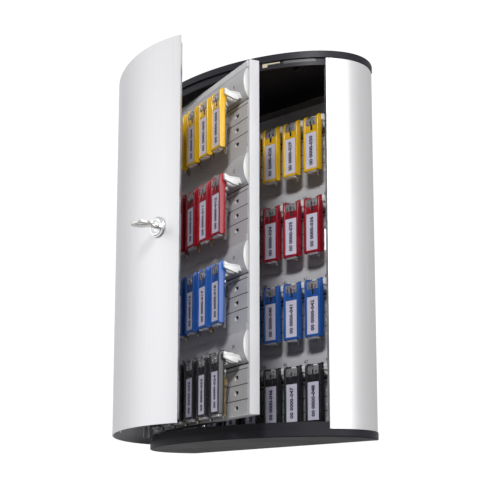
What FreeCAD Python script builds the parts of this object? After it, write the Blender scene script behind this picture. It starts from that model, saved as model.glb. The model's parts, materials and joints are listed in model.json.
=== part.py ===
import FreeCAD, Part
import math
import os

# Wall key cabinet: bowed aluminium shell between two moulded caps, a curved door hinged on the
# left, a swinging hook panel behind it and a second set of hook rails on the back wall.
# Millimetres. X runs right, Y runs into the wall, Z runs up. The origin is the centre of the
# four wall-screw holes, on the wall plane. Pieces are built closed and then turned to rest,
# with the door and the swing panel standing open.

V = FreeCAD.Vector
UP = V(0, 0, 1)

# ---- driving dimensions -------------------------------------------------------------------
WIDTH = 302.0
HEIGHT = 400.0
DEPTH = 118.0
PLAN_CENTRE_Y = -33.9               # centre of the elliptical plan outline
HALF_WIDTH = WIDTH / 2
HALF_DEPTH = DEPTH + PLAN_CENTRE_Y  # short semi-axis of the plan outline
RIM = 7.5                           # height of each cap's visible rim
LIP = 7.5                           # height of the inset lip inside the shell
SHEET = 1.3                         # shell and door sheet
SHEET_INSET = 0.8                   # sheet sits just inside the cap outline
LIP_INSET = SHEET_INSET + SHEET + 0.5
LIP_WALL = 2.5
LIP_BACK_GAP = 1.8                  # the lip stays clear of the wall sheet
LIP_HINGE_R = 10.0                  # the lip is cut away round the door hinge
SOCKET_WALL = 2.0                   # wall of the sockets that take the corner posts
CAP_EDGE_ROUND = 1.2
BUFFER_T = 0.45                     # door buffers fill the gap between lip and door
BUFFER_FIT = 0.02
# each pad: first and last plan angle, low and high edge
BUFFER_PADS = [(300.8, 303.2, 187.5, 191.7), (303.25, 309.5, 190.1, 191.5)]
SHEET_GAP = 0.5                     # sheet ends stand clear of the caps
FIT = 0.05                          # gap left between pieces that are fixed to each other
WALL_GAP = 0.2                      # shell ends stand this far off the wall

CAP_FACE_Z = HEIGHT / 2 - RIM       # inner face of a cap's plate
SKIN_HALF_H = CAP_FACE_Z - SHEET_GAP

# angles on the plan outline, counted from +X towards the wall
DOOR_START = 191.0
DOOR_END = 333.4
EDGE_TURN = 0.7                     # an edge profile's flange is this wide, in degrees
FLANGE_DEPTH = 5.2
RIB_DEPTH = 1.1
LEFT_SHELL_FRONT = 184.8
SHELL_FRONT = 334.0
SHELL_TRIM_END = 338.2
SHELL_TRIM_GAP = 0.1
SHELL_TRIM_PROUD = 0.4              # the trim stands proud of the shell
SHELL_TRIM_T = 1.8
DOOR_RIB_ANGLES = (205.0, 235.0)
DOOR_RIB_TURN = 1.0
HINGE_LEAF = (194.0, 201.0)         # hinge leaf inside the door sheet
HINGE_LEAF_T = 1.6
HINGE_WEB_ANGLE = 195.0

# back wall
WALL_SHEET = 1.5
WALL_HALF_WIDTH = 135.5
WALL_SCREW_X = 122.0
WALL_SCREW_Z = 167.0
WALL_SCREW_R = 3.25
WALL_COLLAR_R = 5.6
WALL_COLLAR_H = 1.2
POST_X = 131.5
POST_Y = -12.0
POST_R = 3.5
POST_WALL = 1.2

# door hinge, panel hinge and rest angles
DOOR_AXIS = V(-143.5, -47.0, 0)
PANEL_AXIS = V(-128.0, -65.5, 0)
DOOR_REST_DEG = 33.0
PANEL_REST_DEG = 18.0
PIN_R = 2.5
PIN_FIT = 0.04                      # radial running clearance of the hinge pins
PIN_SEAT_Z = 198.0
PIN_END_GAP = 0.5
PIN_TIP_Z = 168.0
TUBE_R = 5.2
TUBE_HALF_H = 185.0
DOOR_BOSS_R = 4.7
DOOR_BOSS_TOP = 185.6
PANEL_BOSS_R = 5.6
PANEL_BOSS_TOP = 181.6

# hook rails
RAIL_PITCH = 90.3
PANEL_BASE_Z = -179.2              # underside of the swing panel's lowest rail
BACK_BASE_Z = -180.4                # the back rails sit slightly lower
RAIL_COUNT = 4
RAIL_HEIGHT = 90.0
RAIL_TOP_HEIGHT = 82.8              # the top rail stops under the frame's top bar
RAIL_HALF_WIDTH = 103.5
RAIL_BACK = -6.6                    # back of a rail, behind the strip face
STRIP_H = 15.1
STRIP_GROOVE = 0.8
STRIP_COUNT = 3
GROOVE_DEPTH = 1.0
UNDERCUT_DEPTH = 3.5
RAIL_GAP_Z = 48.6                   # undercut between the strips and the bulge
BULGE_Z = 50.4
BULGE_TOP_Z = 82.4
BULGE_OUT = 4.6
BULGE_FOOT = 1.0                    # the bulge starts behind the strip face and ends before it
RAIL_SLOT_W = 8.4                   # small slots in the strips
RAIL_SLOT_H = 4.2
RAIL_SLOT_X = 80.0
RAIL_SLOT_DEPTH = 3.0
HOOK_PITCH = 31.0
HOOK_COUNT = 6
HOOK_W = 7.0
HOOK_BACK = 4.8                     # heel of a hook, just proud of the bulge
HOOK_ROOT = 0.3                     # the peg overlaps the heel by this much
HOOK_SECTION = [(HOOK_BACK, 52.0), (9.0, 52.8), (14.0, 54.0), (19.4, 55.8), (20.6, 57.4),
                (20.6, 61.4), (19.8, 62.4), (18.8, 62.0), (18.2, 60.6), (18.0, 58.6), (17.5, 57.5),
                (14.0, 57.5), (13.3, 58.6), (12.8, 63.4), (9.0, 62.8), (HOOK_BACK, 62.4)]
CHEEK_SECTION = [(HOOK_BACK, 50.8), (9.6, 51.2), (19.2, 54.6), (20.4, 55.8), (20.4, 61.6),
                 (19.4, 61.4), (15.0, 59.0), (HOOK_BACK, 59.2)]
CHEEK_X = 12.2                      # cheeks stand between the tags, right of each hook
CHEEK_W = 3.6
PEG_Z = (53.0, 59.0)                # height of the pegs that plug into the rail
PEG_DEPTH = 4.0
PEG_SHOULDER = 1.0
PEG_FIT = 0.05
BACK_FACE_Y = -8.5                  # strip face of the back rails
PANEL_FACE_Y = -69.5                # strip face of the swing panel's rails, closed

# swing panel
PANEL_FRONT_Y = -71.0
PANEL_REAR_Y = -60.0
PANEL_FREE_X = 111.6
PANEL_HALF_H = 180.5
PANEL_BAR_W = 6.4
PANEL_FLANGE_W = 3.0                # front flange of the free edge profile
PANEL_REBATE = 3.8
PANEL_HINGE_BAR_X = -119.5
PANEL_RAIL_BAR_H = 7.2
PANEL_BACK_SHEET = 1.2
PANEL_FACE_INSET = 0.3              # cross bars sit just behind the upright bars
PANEL_END_GAP = 0.2
FILLER_END_GAP = 8.0
FILLER_BACK = 2.0                   # fillers lie behind the strip face
CATCH_PLACE = (102.0, -78.0)
CATCH_FOOT = (9.0, 4.5, 2.0)        # half width, half depth and height
CATCH_TOP_HALF = 7.0
CATCH_TIP_HALF = 3.0
CATCH_HALF_DEPTH = 2.5
CATCH_TIP_GAP = 3.9                 # the tip stands this far over the panel

# key tags and keys, measured out from the strip face (p) and up from the rail base
TAG_W = 22.0
TAG_BACK = 17.3
TAG_FRONT = 24.0
TAG_TOP = 53.0
LOOP_BACK = 14.8
LOOP_FOOT = 49.0
LOOP_TOP = 63.2
LOOP_INNER_TOP = 58.2
LOOP_INNER_HALF = 5.0
LOOP_HALF = 8.5
WINDOW_HALF = 8.2
WINDOW_Z = (3.2, 43.0)
WINDOW_DEPTH = 1.95
LABEL_P = (22.1, 23.0)              # label card in the window
LABEL_FIT = 0.1
TAG_ROUND = 3.0
ARM_W = 2.6                         # the tag's two sides run up past the loop
ARM_SECTION = [(TAG_BACK, TAG_TOP - 1), (TAG_FRONT, TAG_TOP - 1), (TAG_FRONT, 58.4), (22.2, 62.0),
               (19.6, 63.2), (TAG_BACK, 63.2)]
LUG_HALF = 1.5
LUG_BACK = 13.2
LUG_Z = (43.5, 51.5)
LUG_HOLE_R = 1.7
RING_R = 5.35
RING_WIRE = 0.7
RING_TOP = (15.2, 47.5)
RING_LOW = (13.5, 37.0)
KEY_HEAD = (10.5, 34.2)
KEY_TWIST = 36.0                    # keys hang turned on their rings
KEY_HEAD_R = 6.6
KEY_HOLE_R = 1.9
KEY_T = 2.0
BLADE_P = (8.2, 13.6)
BLADE_Z = (-3.0, 29.0)

# lock in the door, measured along its own axis from the sheet's outer face
LOCK_ANGLE = 318.9
LOCK_BODY_R = 8.8
LOCK_HOLE_R = 9.0
LOCK_PLUG_R = 5.0
ROSETTE_R = 10.2
ROSETTE_SPAN = (0.45, 3.4)          # back and front face, outwards
ROSETTE_CHAMFER = 1.2
HOUSING_SPAN = (-11.4, 0.4)
NUT_SPAN = (-5.6, -2.9)
NUT_RIM = 1.6
PLUG_SPAN = (-11.8, 3.0)
PLUG_SQUARE = 2.0                   # half width of the square end that drives the cam
PLUG_SQUARE_END = -14.0
KEYWAY = (4.0, 1.1, -9.5)           # half width, half height and depth
CAM_SPAN = (-13.95, -11.95)
CAM_HALF = 6.0
CAM_REACH = 28.5
CAM_SCREW_HEAD = (-15.4, -14.05, 3.2)
CAM_SCREW_SHANK_R = 1.15
CAM_SCREW_TIP = -10.2
CAM_SCREW_BORE_R = 1.2
CAM_SCREW_BORE_END = -10.0
STRIKE_SIDE = (24.0, 32.0)          # strike plate, sideways from the lock's axis
STRIKE_HALF_H = 11.0
STRIKE_SPAN = (-10.4, -8.9)
STRIKE_LIP = (30.6, -7.0)           # start and height of its folded edge
KEY_BLADE = (3.6, 0.9, -9.0, 9.5)   # half width, half height, tip and shoulder
BOW_R = 11.0
BOW_T = 2.2
BOW_CENTRE = 18.5
BOW_HOLE = (24.5, 2.6)              # distance out and radius
THROUGH = 30.0                      # reach of a cutting tool that passes right through

OUT = "parts"


# ---- small helpers ------------------------------------------------------------------------
def save(name, *solids):
    shape = solids[0] if len(solids) == 1 else Part.makeCompound(list(solids))
    shape.exportStep(os.path.join(OUT, name + ".step"))


def box(x0, x1, y0, y1, z0, z1):
    return Part.makeBox(x1 - x0, y1 - y0, z1 - z0, V(x0, y0, z0))


def rod(x, y, z0, z1, radius):
    return Part.makeCylinder(radius, z1 - z0, V(x, y, z0), UP)


def prism(points, direction):
    """Extrude a closed polygon of vectors."""
    return Part.Face(Part.makePolygon(points + points[:1])).extrude(direction)


def flip(shape):
    """The same piece at the other end of the cabinet."""
    return shape.mirror(V(0, 0, 0), UP)


def clean(shape):
    return shape.removeSplitter()


# ---- the elliptical plan ------------------------------------------------------------------
def plan_point(inset, degrees, z=0.0):
    angle = math.radians(degrees)
    return V((HALF_WIDTH - inset) * math.cos(angle),
             PLAN_CENTRE_Y + (HALF_DEPTH - inset) * math.sin(angle), z)


def plan_arc(inset, start, end, z):
    ellipse = Part.Ellipse(V(0, PLAN_CENTRE_Y, z), HALF_WIDTH - inset, HALF_DEPTH - inset)
    return Part.ArcOfEllipse(ellipse, math.radians(start), math.radians(end)).toShape()


def wall_angle(inset, back_gap):
    """Angle at which the outline meets the plane y = -back_gap, on the right."""
    return math.degrees(math.asin((-back_gap - PLAN_CENTRE_Y) / (HALF_DEPTH - inset)))


def plan_prism(inset, back_gap, z0, z1):
    """Solid of the whole plan outline between two heights."""
    turn = wall_angle(inset, back_gap)
    arc = plan_arc(inset, 180 - turn, 360 + turn, z0)
    ends = [plan_point(inset, 360 + turn, z0), plan_point(inset, 180 - turn, z0)]
    closing = Part.makeLine(ends[0], ends[1])
    return Part.Face(Part.Wire([arc, closing])).extrude(V(0, 0, z1 - z0))


def curved_sheet(inset, thickness, start, end, z0, z1):
    """Upright sheet that follows the plan outline between two angles."""
    inner = inset + thickness
    edges = [
        plan_arc(inset, start, end, z0),
        Part.makeLine(plan_point(inset, end, z0), plan_point(inner, end, z0)),
        plan_arc(inner, start, end, z0),
        Part.makeLine(plan_point(inner, start, z0), plan_point(inset, start, z0)),
    ]
    return Part.Face(Part.Wire(Part.__sortEdges__(edges))).extrude(V(0, 0, z1 - z0))


# ---- rest pose ----------------------------------------------------------------------------
def open_door(shape):
    turned = shape.copy()
    turned.rotate(DOOR_AXIS, UP, -DOOR_REST_DEG)
    return turned


def open_panel(shape):
    turned = shape.copy()
    turned.rotate(PANEL_AXIS, UP, -PANEL_REST_DEG)
    return turned


# ---- caps, shells and wall ------------------------------------------------------------------
def base_cap():
    bottom = -HEIGHT / 2
    plate = plan_prism(0, 0, bottom, -CAP_FACE_Z)
    rim_edges = [e for e in plate.Edges if abs(e.BoundBox.ZMax - bottom) < 0.01]
    plate = plate.makeFillet(CAP_EDGE_ROUND, rim_edges)
    lip_top = -CAP_FACE_Z + LIP
    lip = plan_prism(LIP_INSET, LIP_BACK_GAP, -CAP_FACE_Z, lip_top)
    lip = lip.cut(plan_prism(LIP_INSET + LIP_WALL, LIP_BACK_GAP + LIP_WALL, -CAP_FACE_Z, lip_top))
    lip = lip.cut(rod(DOOR_AXIS.x, DOOR_AXIS.y, -CAP_FACE_Z, lip_top, LIP_HINGE_R))
    cap = plate.fuse(lip)
    for side in (-1, 1):
        socket = rod(side * POST_X, POST_Y, -CAP_FACE_Z, lip_top, POST_R + SOCKET_WALL)
        cap = cap.fuse(socket)
    cap = cap.fuse(rod(DOOR_AXIS.x, DOOR_AXIS.y, -CAP_FACE_Z, -DOOR_BOSS_TOP, DOOR_BOSS_R))
    cap = cap.fuse(rod(PANEL_AXIS.x, PANEL_AXIS.y, -CAP_FACE_Z, -PANEL_BOSS_TOP, PANEL_BOSS_R))
    for side in (-1, 1):
        cap = cap.cut(rod(side * POST_X, POST_Y, -CAP_FACE_Z, lip_top, POST_R + PIN_FIT))
    for axis in (DOOR_AXIS, PANEL_AXIS):
        cap = cap.cut(rod(axis.x, axis.y, -PIN_SEAT_Z, -PANEL_BOSS_TOP + 1, PIN_R + PIN_FIT))
    return clean(cap)


def corner_posts():
    def tube(x):
        outer = rod(x, POST_Y, -CAP_FACE_Z, CAP_FACE_Z, POST_R)
        return outer.cut(rod(x, POST_Y, -CAP_FACE_Z, CAP_FACE_Z, POST_R - POST_WALL))
    return [tube(-POST_X), tube(POST_X)]


def wall_screw_places():
    return [(x, z) for x in (-WALL_SCREW_X, WALL_SCREW_X) for z in (-WALL_SCREW_Z, WALL_SCREW_Z)]


def wall_disc(x, z, front, back, radius):
    """Disc square to the wall between two distances in front of it."""
    return Part.makeCylinder(radius, front - back, V(x, -back, z), V(0, -1, 0))


def back_wall():
    wall = box(-WALL_HALF_WIDTH, WALL_HALF_WIDTH, -WALL_SHEET, 0, -SKIN_HALF_H, SKIN_HALF_H)
    for x, z in wall_screw_places():
        wall = wall.cut(wall_disc(x, z, WALL_SHEET + 1, -1, WALL_SCREW_R))
    return wall


def wall_screw_collars():
    front = WALL_SHEET + WALL_COLLAR_H
    return [wall_disc(x, z, front, WALL_SHEET, WALL_COLLAR_R).cut(
        wall_disc(x, z, front, WALL_SHEET, WALL_SCREW_R)) for x, z in wall_screw_places()]


def shell_edge_profile():
    inset = SHEET_INSET - SHELL_TRIM_PROUD
    strip = curved_sheet(inset, SHELL_TRIM_T, SHELL_FRONT, SHELL_TRIM_END, -SKIN_HALF_H, SKIN_HALF_H)
    return clean(strip.fuse(edge_flange(inset, SHELL_FRONT)))


def right_shell():
    start = SHELL_TRIM_END + SHELL_TRIM_GAP
    end = 360 + wall_angle(SHEET_INSET, WALL_GAP)
    return curved_sheet(SHEET_INSET, SHEET, start, end, -SKIN_HALF_H, SKIN_HALF_H)


def left_shell():
    start = 180 - wall_angle(SHEET_INSET, WALL_GAP)
    return curved_sheet(SHEET_INSET, SHEET, start, LEFT_SHELL_FRONT, -SKIN_HALF_H, SKIN_HALF_H)


def pivot_pins(axis):
    lower = rod(axis.x, axis.y, -PIN_SEAT_Z + PIN_END_GAP, -PIN_TIP_Z, PIN_R)
    return [lower, flip(lower)]


def panel_catch():
    """Sprung stop under the top cap that holds the swing panel shut."""
    half_w, half_d, height = CATCH_FOOT
    foot_z = CAP_FACE_Z - height
    low_z = PANEL_HALF_H + CATCH_TIP_GAP
    x, y = CATCH_PLACE
    front = y - CATCH_HALF_DEPTH
    wedge = [V(x - CATCH_TOP_HALF, front, foot_z), V(x + CATCH_TOP_HALF, front, foot_z),
             V(x + CATCH_TIP_HALF, front, low_z), V(x - CATCH_TIP_HALF, front, low_z)]
    foot = box(x - half_w, x + half_w, y - half_d, y + half_d, foot_z, CAP_FACE_Z)
    return prism(wedge, V(0, 2 * CATCH_HALF_DEPTH, 0)).fuse(foot)


def door_buffers():
    """Thin pads on the upper lip, on which the closed door rests."""
    return [curved_sheet(LIP_INSET - BUFFER_T, BUFFER_T - BUFFER_FIT, start, end, low, high)
            for start, end, low, high in BUFFER_PADS]


# ---- hook rails -----------------------------------------------------------------------------
def rail_profile(face_y, base_z, height):
    """Section of one rail: three strips, an undercut and the bulge that carries the hooks."""
    def at(p, z):
        return V(-RAIL_HALF_WIDTH, face_y - p, base_z + z)
    lower = [at(RAIL_BACK, 0), at(0, 0)]
    for strip in range(1, STRIP_COUNT + 1):
        z = strip * STRIP_H
        groove_z = z - STRIP_GROOVE
        lower += [at(0, groove_z), at(-GROOVE_DEPTH, groove_z), at(-GROOVE_DEPTH, z), at(0, z)]
    foot = at(-BULGE_FOOT, BULGE_Z)
    head = at(BULGE_FOOT, BULGE_TOP_Z)
    lower += [at(0, RAIL_GAP_Z), at(-UNDERCUT_DEPTH, RAIL_GAP_Z), at(-UNDERCUT_DEPTH, BULGE_Z), foot]
    bulge = Part.Arc(foot, at(BULGE_OUT, (BULGE_Z + BULGE_TOP_Z) / 2), head).toShape()
    upper = [head, at(BULGE_FOOT, height), at(RAIL_BACK, height), at(RAIL_BACK, 0)]
    edges = [Part.makeLine(a, b) for a, b in zip(lower, lower[1:])]
    edges += [bulge] + [Part.makeLine(a, b) for a, b in zip(upper, upper[1:])]
    return Part.Face(Part.Wire(edges))


def first_base(face_y):
    return BACK_BASE_Z if face_y == BACK_FACE_Y else PANEL_BASE_Z


def row_bases(face_y):
    return [first_base(face_y) + row * RAIL_PITCH for row in range(RAIL_COUNT)]


def rail(face_y, row):
    height = RAIL_TOP_HEIGHT if row == RAIL_COUNT - 1 else RAIL_HEIGHT
    base_z = row_bases(face_y)[row]
    solid = rail_profile(face_y, base_z, height).extrude(V(2 * RAIL_HALF_WIDTH, 0, 0))
    for strip in range(STRIP_COUNT):
        for x in (-RAIL_SLOT_X, RAIL_SLOT_X):
            z = base_z + (strip + 0.5) * STRIP_H
            solid = solid.cut(box(x - RAIL_SLOT_W / 2, x + RAIL_SLOT_W / 2, face_y - 1,
                                  face_y + RAIL_SLOT_DEPTH, z - RAIL_SLOT_H / 2, z + RAIL_SLOT_H / 2))
    for x in hook_places():
        solid = solid.cut(peg(x - HOOK_W / 2, x + HOOK_W / 2, face_y, base_z, PEG_FIT))
        solid = solid.cut(peg(x + CHEEK_X, x + CHEEK_X + CHEEK_W, face_y, base_z, PEG_FIT))
    return solid


def hook_places():
    first = -HOOK_PITCH * (HOOK_COUNT - 1) / 2
    return [first + HOOK_PITCH * i for i in range(HOOK_COUNT)]


def peg(x0, x1, face_y, base_z, grow):
    """Square peg of a moulding, which plugs into the rail; grow gives the pocket for it."""
    return box(x0 + PEG_SHOULDER - grow, x1 - PEG_SHOULDER + grow, face_y - HOOK_BACK - HOOK_ROOT,
               face_y + PEG_DEPTH + grow, base_z + PEG_Z[0] - grow, base_z + PEG_Z[1] + grow)


def moulding(section, x0, x1, face_y, base_z):
    """A hook or cheek of constant section, with its peg."""
    points = [V(x0, face_y - p, base_z + z) for p, z in section]
    return clean(prism(points, V(x1 - x0, 0, 0)).fuse(peg(x0, x1, face_y, base_z, 0)))


def hooks(face_y):
    """Beak-shaped hooks that climb from the heel to a saddle and a raised tip."""
    return [moulding(HOOK_SECTION, x - HOOK_W / 2, x + HOOK_W / 2, face_y, base_z)
            for base_z in row_bases(face_y) for x in hook_places()]


def cheeks(face_y):
    """Beak-shaped guards between neighbouring tags."""
    return [moulding(CHEEK_SECTION, x + CHEEK_X, x + CHEEK_X + CHEEK_W, face_y, base_z)
            for base_z in row_bases(face_y) for x in hook_places()]


# ---- door -----------------------------------------------------------------------------------
def lock_frame():
    """Point on the sheet and the outward and sideways directions at the lock."""
    angle = math.radians(LOCK_ANGLE)
    point = plan_point(SHEET_INSET, LOCK_ANGLE)
    out = V(math.cos(angle) / HALF_WIDTH, math.sin(angle) / HALF_DEPTH, 0).normalize()
    side = UP.cross(out)
    return point, out, side


def lock_disc(depth_in, depth_out, radius):
    point, out, _ = lock_frame()
    return Part.makeCylinder(radius, depth_out - depth_in, point + out * depth_in, out)


def lock_block(side0, side1, z0, z1, depth_in, depth_out):
    """Box in the lock's own directions."""
    point, out, side = lock_frame()
    places = ((side0, depth_in), (side1, depth_in), (side1, depth_out), (side0, depth_out))
    return prism([point + side * s + out * n + UP * z0 for s, n in places], UP * (z1 - z0))


def door_skin():
    end = DOOR_END - EDGE_TURN - FIT
    sheet = curved_sheet(SHEET_INSET, SHEET, DOOR_START, end, -SKIN_HALF_H, SKIN_HALF_H)
    sheet = sheet.cut(rod(DOOR_AXIS.x, DOOR_AXIS.y, -HEIGHT, HEIGHT, TUBE_R + FIT))
    return sheet.cut(lock_disc(-THROUGH, THROUGH, LOCK_HOLE_R))


def door_hinge_profile():
    tube = rod(DOOR_AXIS.x, DOOR_AXIS.y, -TUBE_HALF_H, TUBE_HALF_H, TUBE_R)
    inset = SHEET_INSET + SHEET + FIT
    leaf = curved_sheet(inset, HINGE_LEAF_T, *HINGE_LEAF, -TUBE_HALF_H, TUBE_HALF_H)
    foot = plan_point(inset + HINGE_LEAF_T / 2, HINGE_WEB_ANGLE)
    web = prism([DOOR_AXIS + V(-2, -3, -TUBE_HALF_H), DOOR_AXIS + V(3, -3, -TUBE_HALF_H),
                 foot + V(1.6, 0.5, -TUBE_HALF_H), foot + V(0.2, -0.4, -TUBE_HALF_H)],
                UP * (2 * TUBE_HALF_H))
    profile = tube.fuse(leaf).fuse(web)
    return clean(profile.cut(rod(DOOR_AXIS.x, DOOR_AXIS.y, -HEIGHT, HEIGHT, PIN_R + PIN_FIT)))


def edge_flange(inset, start):
    """Inward flange of an edge profile, short enough to pass between the cap lips."""
    half = TUBE_HALF_H - 0.5
    return curved_sheet(inset, FLANGE_DEPTH, start, start + EDGE_TURN, -half, half)


def door_edge_profile():
    start = DOOR_END - EDGE_TURN
    strip = curved_sheet(SHEET_INSET, SHEET, start, DOOR_END, -SKIN_HALF_H, SKIN_HALF_H)
    return clean(strip.fuse(edge_flange(SHEET_INSET, start)))


def door_stiffeners():
    half = TUBE_HALF_H - 1
    inset = SHEET_INSET + SHEET + FIT
    return [curved_sheet(inset, RIB_DEPTH, angle, angle + DOOR_RIB_TURN, -half, half)
            for angle in DOOR_RIB_ANGLES]


def lock_housing():
    body = lock_disc(*HOUSING_SPAN, LOCK_BODY_R)
    return body.cut(lock_disc(-THROUGH, THROUGH, LOCK_PLUG_R + PIN_FIT))


def lock_rosette():
    disc = lock_disc(*ROSETTE_SPAN, ROSETTE_R)
    point, out, _ = lock_frame()
    front = point + out * ROSETTE_SPAN[1]
    rim = [e for e in disc.Edges if abs((e.CenterOfMass - front).dot(out)) < 0.01]
    disc = disc.makeChamfer(ROSETTE_CHAMFER, rim)
    return disc.cut(lock_disc(-THROUGH, THROUGH, LOCK_PLUG_R + PIN_FIT))


def lock_nut():
    ring = lock_disc(*NUT_SPAN, ROSETTE_R + NUT_RIM)
    return ring.cut(lock_disc(-THROUGH, THROUGH, LOCK_BODY_R + BUFFER_FIT))


def lock_plug():
    half = PLUG_SQUARE
    plug = lock_disc(*PLUG_SPAN, LOCK_PLUG_R)
    plug = plug.fuse(lock_block(-half, half, -half, half, PLUG_SQUARE_END, PLUG_SPAN[0]))
    half_w, half_h, depth = KEYWAY
    plug = plug.cut(lock_block(-half_w, half_w, -half_h, half_h, depth, THROUGH))
    return clean(plug.cut(lock_disc(-THROUGH, CAM_SCREW_BORE_END, CAM_SCREW_BORE_R)))


def lock_cam():
    """Cam that stands upright while the door is unlocked."""
    half = PLUG_SQUARE + FIT
    blade = lock_block(-CAM_HALF, CAM_HALF, -CAM_HALF, CAM_REACH, *CAM_SPAN)
    return blade.cut(lock_block(-half, half, -half, half, -THROUGH, THROUGH))


def cam_screw():
    head = lock_disc(*CAM_SCREW_HEAD)
    return clean(head.fuse(lock_disc(CAM_SCREW_HEAD[1], CAM_SCREW_TIP, CAM_SCREW_SHANK_R)))


def strike_plate():
    """Small steel tab behind which the cam turns."""
    inner, outer = STRIKE_SIDE
    lip_start, lip_top = STRIKE_LIP
    back, front = STRIKE_SPAN
    tab = lock_block(inner, outer, -STRIKE_HALF_H, STRIKE_HALF_H, back, front)
    return clean(tab.fuse(lock_block(lip_start, outer, -STRIKE_HALF_H, STRIKE_HALF_H, back, lip_top)))


def key():
    point, out, _ = lock_frame()
    half_w, half_h, tip, shoulder = KEY_BLADE
    hole_out, hole_r = BOW_HOLE
    blade = lock_block(-half_w, half_w, -half_h, half_h, tip, shoulder)
    bow = Part.makeCylinder(BOW_R, BOW_T, point + out * BOW_CENTRE - UP * (BOW_T / 2), UP)
    bow = bow.cut(Part.makeCylinder(hole_r, 2 * BOW_T, point + out * hole_out - UP * BOW_T, UP))
    return clean(blade.fuse(bow))


# ---- swing panel ----------------------------------------------------------------------------
def panel_free_bar():
    """Edge profile with a narrow front flange and a rebate beside the rails."""
    inner = PANEL_FREE_X - PANEL_BAR_W
    flange = PANEL_FREE_X - PANEL_FLANGE_W
    rebate = PANEL_FRONT_Y + PANEL_REBATE
    outline = [(inner, PANEL_REAR_Y), (PANEL_FREE_X, PANEL_REAR_Y), (PANEL_FREE_X, PANEL_FRONT_Y),
               (flange, PANEL_FRONT_Y), (flange, rebate), (inner, rebate)]
    return prism([V(x, y, -PANEL_HALF_H) for x, y in outline], UP * (2 * PANEL_HALF_H))


def panel_hinge_bar():
    radius = (PANEL_REAR_Y - PANEL_FRONT_Y) / 2
    bar = rod(PANEL_AXIS.x, PANEL_AXIS.y, -PANEL_HALF_H, PANEL_HALF_H, radius)
    bar = bar.fuse(box(PANEL_AXIS.x, PANEL_HINGE_BAR_X, PANEL_FRONT_Y, PANEL_REAR_Y,
                       -PANEL_HALF_H, PANEL_HALF_H))
    return clean(bar.cut(rod(PANEL_AXIS.x, PANEL_AXIS.y, -HEIGHT, HEIGHT, PIN_R + PIN_FIT)))


def panel_cross_bar(z0, z1):
    return box(PANEL_HINGE_BAR_X + FIT, PANEL_FREE_X - PANEL_BAR_W - FIT,
               PANEL_FRONT_Y + PANEL_FACE_INSET, PANEL_REAR_Y - PANEL_BACK_SHEET - FIT, z0, z1)


def panel_top_bar():
    low = row_bases(PANEL_FACE_Y)[-1] + RAIL_TOP_HEIGHT + 2 * FIT
    return panel_cross_bar(low, low + PANEL_RAIL_BAR_H)


def panel_bottom_bar():
    return panel_cross_bar(-PANEL_HALF_H + PANEL_END_GAP, PANEL_BASE_Z - FIT)


def panel_back_sheet():
    return box(PANEL_HINGE_BAR_X + FIT, PANEL_FREE_X - PANEL_BAR_W - FIT,
               PANEL_REAR_Y - PANEL_BACK_SHEET, PANEL_REAR_Y,
               -PANEL_HALF_H + PANEL_END_GAP, PANEL_HALF_H - 1)


def panel_fillers():
    """Side spacers between the rails and the two upright bars."""
    half = PANEL_HALF_H - FILLER_END_GAP
    front = PANEL_FACE_Y + FILLER_BACK
    rear = PANEL_REAR_Y - PANEL_BACK_SHEET - FIT
    left = box(PANEL_HINGE_BAR_X + FIT, -RAIL_HALF_WIDTH - FIT, front, rear, -half, half)
    right = box(RAIL_HALF_WIDTH + FIT, PANEL_FREE_X - PANEL_BAR_W - FIT, front, rear, -half, half)
    return [left, right]


# ---- key tags and keys ----------------------------------------------------------------------
def tag_box(x, face_y, base_z, half_width, p0, p1, z0, z1):
    return box(x - half_width, x + half_width, face_y - p1, face_y - p0, base_z + z0, base_z + z1)


def tag_arm(x, width, face_y, base_z):
    return prism([V(x, face_y - p, base_z + z) for p, z in ARM_SECTION], V(width, 0, 0))


def key_tag(x, face_y, base_z):
    body = tag_box(x, face_y, base_z, TAG_W / 2, TAG_BACK, TAG_FRONT, 0, TAG_TOP)
    lower = [e for e in body.Edges if e.BoundBox.YLength > 1 and e.BoundBox.ZMax < base_z + 1]
    body = body.makeFillet(TAG_ROUND, lower)
    body = body.fuse(tag_arm(x - TAG_W / 2, ARM_W, face_y, base_z))
    body = body.fuse(tag_arm(x + TAG_W / 2 - ARM_W, ARM_W, face_y, base_z))
    loop = tag_box(x, face_y, base_z, LOOP_HALF, LOOP_BACK, TAG_BACK, LOOP_FOOT, LOOP_TOP)
    inner = tag_box(x, face_y, base_z, LOOP_INNER_HALF, 0, THROUGH, LOOP_FOOT, LOOP_INNER_TOP)
    lug = tag_box(x, face_y, base_z, LUG_HALF, LUG_BACK, TAG_BACK, *LUG_Z)
    eye_start = V(x - 5, face_y - RING_TOP[0], base_z + RING_TOP[1])
    eye = Part.makeCylinder(LUG_HOLE_R, 10, eye_start, V(1, 0, 0))
    body = body.fuse(loop.cut(inner)).fuse(lug.cut(eye))
    sill = TAG_FRONT - WINDOW_DEPTH
    body = body.cut(tag_box(x, face_y, base_z, WINDOW_HALF, sill, THROUGH, *WINDOW_Z))
    label = tag_box(x, face_y, base_z, WINDOW_HALF - LABEL_FIT, *LABEL_P,
                    WINDOW_Z[0] + LABEL_FIT, WINDOW_Z[1] - LABEL_FIT)
    return [clean(body), label]


def hung_key(x, face_y, base_z):
    def at(p, z):
        return V(x, face_y - p, base_z + z)
    top, low = at(*RING_TOP), at(*RING_LOW)
    line = (low - top).normalize()
    ring = Part.makeTorus(RING_R, RING_WIRE, (top + low) * 0.5, line.cross(V(1, 0, 0)))
    head = Part.makeCylinder(KEY_HEAD_R, KEY_T, at(*KEY_HEAD) + V(-KEY_T / 2, 0, 0), V(1, 0, 0))
    blade = tag_box(x, face_y, base_z, KEY_T / 2, *BLADE_P, *BLADE_Z)
    body = head.fuse(blade)
    body = body.cut(Part.makeCylinder(KEY_HOLE_R, 10, low + V(-5, 0, 0), V(1, 0, 0)))
    body.rotate(low, UP, KEY_TWIST)
    return [ring, clean(body)]


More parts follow.
